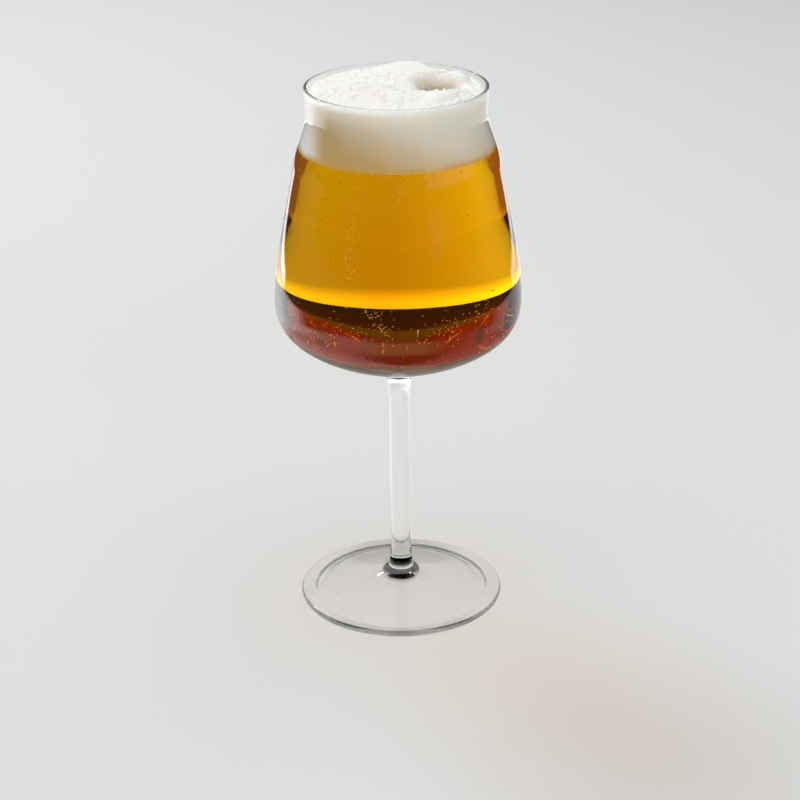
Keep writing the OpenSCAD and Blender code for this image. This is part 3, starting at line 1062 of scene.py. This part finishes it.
class TULIP_OT_stage(bpy.types.Operator):
    """Sets the studio: pale floor, soft lamps, surroundings and the camera"""

    bl_idname = "tulip.stage"
    bl_label = "Studio"

    def execute(self, context):
        scene = context.scene
        sizes = settings().stage
        self.floor(sizes)
        self.surroundings(scene)
        for name, setting, size, place, shows in LAMPS:
            self.lamp(name, getattr(sizes, setting), size, Vector(place), shows)
        self.camera(scene, sizes)
        scene.cycles.use_denoising = True
        scene.cycles.max_bounces = 32
        scene.cycles.glossy_bounces = 24
        scene.cycles.transmission_bounces = 32
        scene.cycles.transparent_max_bounces = 32
        scene.cycles.caustics_refractive = False
        scene.cycles.caustics_reflective = False
        scene.view_settings.view_transform = "Standard"
        return {"FINISHED"}

    def floor(self, sizes):
        """The pale floor, as a near round and a wide ring; only the round shows through the glass."""
        base = Vector(sizes.floor_tint)
        material, tree, shader, _ = principled("pale_floor", {"Roughness": 0.9, "Specular IOR Level": 0.1})
        place = node_in(tree, "ShaderNodeTexCoord").outputs["Object"]
        parts = node_in(tree, "ShaderNodeSeparateXYZ", {"Vector": place}).outputs
        grain = node_in(tree, "ShaderNodeTexNoise", {"Vector": place, "Scale": 3.0, "Detail": 2.0})
        tone = blend(tree, grain.outputs["Fac"], *[base * share for share in FLOOR_WAVER])
        # Painted shade: the floor darkens towards its far side
        away = ramp_of(tree, parts["Y"], FLOOR_SHADE_START, FLOOR_SHADE_END, smooth=False)
        feed(tree, shader, {"Base Color": blend(tree, away, tone, base * FLOOR_FAR_SHADE)})
        reaches = (("floor_near", 0.0, sizes.table_r), ("floor_far", sizes.table_r, sizes.floor_r))
        for name, start, end in reaches:
            bm = bmesh.new()
            ends = [bm.verts.new((reach, 0.0, 0.0)) for reach in (start, end)]
            line = ends + [bm.edges.new(ends)]
            bmesh.ops.spin(bm, geom=line, angle=math.tau, steps=96, use_merge=True, **ABOUT_Z)
            bmesh.ops.remove_doubles(bm, verts=bm.verts, dist=TOUCH)
            for face in bm.faces:
                face.normal_update()
                if face.normal.z < 0.0:
                    face.normal_flip()
            mesh = bpy.data.meshes.new(name)
            bm.to_mesh(mesh)
            bm.free()
            mesh.materials.append(material)
            ground = bpy.data.objects.new(name, mesh)
            bpy.context.scene.collection.objects.link(ground)
            ground.location = (0.0, sizes.table_back, -FLOOR_GAP)
            ground.visible_glossy = False
            ground.visible_transmission = name == "floor_near"

    def surroundings(self, scene):
        """The studio's light by direction, with a part for each of straight, mirrored, bent and scattered."""
        world = bpy.data.worlds.new("studio")
        scene.world = world
        world.use_nodes = True
        tree = world.node_tree
        tree.nodes.clear()
        place = node_in(tree, "ShaderNodeTexCoord").outputs["Generated"]
        parts = node_in(tree, "ShaderNodeSeparateXYZ", {"Vector": place}).outputs
        rise = reckon(tree, "MULTIPLY", reckon(tree, "ARCSINE", parts["Z"]), DEGREES)
        turn = reckon(tree, "MULTIPLY", reckon(tree, "ARCTAN2", parts["X"], parts["Y"]), DEGREES)
        swing = reckon(tree, "ABSOLUTE", turn)
        ways = {"rise": rise, "turn": turn, "swing": swing, "side": parts["X"]}

        def light(*names):
            """The product of the named bands."""
            product = None
            for name in names:
                way, *ends = BANDS[name]
                band = ramp_of(tree, ways[way], *ends)
                product = band if product is None else reckon(tree, "MULTIPLY", product, band)
            return product

        path = node_in(tree, "ShaderNodeLightPath").outputs
        direct = path["Is Camera Ray"]
        mirrored = reckon(tree, "SUBTRACT", path["Is Reflection Ray"], path["Is Diffuse Ray"], clamp=True)
        bent = reckon(tree, "SUBTRACT", path["Is Transmission Ray"], path["Is Diffuse Ray"], clamp=True)
        seen = reckon(tree, "ADD", direct, reckon(tree, "ADD", mirrored, bent))
        scattered = reckon(tree, "MAXIMUM", reckon(tree, "SUBTRACT", 1.0, seen), 0.0)

        table = light("table_depth", "table_left", "table_back", "table_edge")
        through = reckon(tree, "ADD", reckon(tree, "ADD", table, ROOM_DIM), light("room_wall"))

        streak = light("streak_sides", "ground_depth", "streak_calm")
        streak = reckon(tree, "ADD", streak, light("streak_crest"))
        streak = reckon(tree, "MULTIPLY", streak, light("streak_end", "streak_top"))
        near = ramp_of(tree, light("near_front", "near_right"), 0.0, 1.0, *NEAR_GROUND, smooth=False)
        ground = reckon(tree, "ADD", light("ground_far", "ground_depth"), near)
        ground = reckon(tree, "MULTIPLY", ground, light("ground_top"))
        not_aside = reckon(tree, "SUBTRACT", 1.0, light("aside_swing", "aside_rise"))
        ground = reckon(tree, "MULTIPLY", ground, not_aside)
        gain = reckon(tree, "ADD", light("gain_left"), light("gain_right"))
        gain = reckon(tree, "MULTIPLY", gain, light("gain_fall"))
        above = reckon(tree, "ADD", light("ceiling_far", "ceiling_low", "ceiling_high"), ROOM_DIM)
        above = reckon(tree, "ADD", above, light("pane_start", "pane_end", "pane_rise"))
        sheen = reckon(tree, "MULTIPLY_ADD", reckon(tree, "MAXIMUM", streak, ground), gain, above)

        strength = reckon(tree, "MULTIPLY", scattered, light("ambient"))
        strength = reckon(tree, "MULTIPLY_ADD", direct, BACKDROP, strength)
        strength = reckon(tree, "MULTIPLY_ADD", mirrored, sheen, strength)
        strength = reckon(tree, "MULTIPLY_ADD", bent, through, strength)
        glow = reckon(tree, "MULTIPLY", mirrored, light("glow_front", "glow_top", "glow_low"))
        pale = node_in(tree, "ShaderNodeBackground", {"Strength": strength})
        golden = node_in(tree, "ShaderNodeBackground", {"Color": GLOW_TINT, "Strength": glow})
        layers = {0: pale.outputs["Background"], 1: golden.outputs["Background"]}
        both = node_in(tree, "ShaderNodeAddShader", layers)
        node_in(tree, "ShaderNodeOutputWorld", {"Surface": both.outputs["Shader"]})

    def lamp(self, name, watts, size, place, shows):
        """A rectangular lamp that faces the glass; only one that shows is seen in it."""
        data = bpy.data.lights.new(name, "AREA")
        data.shape = "RECTANGLE"
        data.size, data.size_y = size
        data.energy = watts
        lamp = bpy.data.objects.new(name, data)
        bpy.context.scene.collection.objects.link(lamp)
        lamp.location = place
        lamp.rotation_mode = "QUATERNION"
        lamp.rotation_quaternion = (Vector(LAMP_AIM) - place).to_track_quat("-Z", "Y")
        lamp.visible_glossy = shows
        lamp.visible_transmission = shows

    def camera(self, scene, sizes):
        """The camera, a step back and looking down on the glass."""
        data = bpy.data.cameras.new("camera")
        data.sensor_width = 36.0
        data.lens = sizes.camera_lens
        camera = bpy.data.objects.new("camera", data)
        scene.collection.objects.link(camera)
        camera.location = (sizes.camera_side, -sizes.camera_back, sizes.camera_up)
        camera.rotation_mode = "QUATERNION"
        pitch = Matrix.Rotation(math.pi / 2 - sizes.camera_pitch, 3, "X")
        roll = Matrix.Rotation(sizes.camera_roll, 3, "Z")
        camera.rotation_quaternion = (pitch @ roll).to_quaternion()
        scene.camera = camera


class TULIP_PT_panel(bpy.types.Panel):
    """Lists the pieces of the tulip glass"""

    bl_idname = "TULIP_PT_panel"
    bl_label = "Tulip glass"
    bl_space_type = "VIEW_3D"
    bl_region_type = "UI"
    bl_category = "Tulip glass"

    def draw(self, context):
        layout = self.layout
        for piece in PIECES:
            layout.operator(piece.bl_idname)
        for name in ("bowl", "stem", "foot", "drink", "stage"):
            group = getattr(context.scene.tulip_glass, name)
            box = layout.box()
            box.label(text=name.capitalize())
            for field in group.__annotations__:
                box.prop(group, field)


SIZES = (TulipBowlSizes, TulipStemSizes, TulipFootSizes, TulipDrinkSizes, TulipStageSizes, TulipGlass)
PIECES = (
    TULIP_OT_bowl,
    TULIP_OT_stem,
    TULIP_OT_foot,
    TULIP_OT_beer,
    TULIP_OT_foam,
    TULIP_OT_bubbles,
    TULIP_OT_stage,
)


def register():
    """Makes the settings, the operators and the panel known."""
    for kind in SIZES + PIECES + (TULIP_PT_panel,):
        bpy.utils.register_class(kind)
    bpy.types.Scene.tulip_glass = PointerProperty(type=TulipGlass)


def unregister():
    """Takes back what register made known."""
    del bpy.types.Scene.tulip_glass
    for kind in reversed(SIZES + PIECES + (TULIP_PT_panel,)):
        bpy.utils.unregister_class(kind)


def main():
    """Builds the glass, its drink and the studio."""
    register()
    bpy.ops.tulip.bowl()
    bpy.ops.tulip.stem()
    bpy.ops.tulip.foot()
    bpy.ops.tulip.beer()
    bpy.ops.tulip.foam()
    bpy.ops.tulip.bubbles()
    bpy.ops.tulip.stage()


if __name__ == "__main__":
    main()
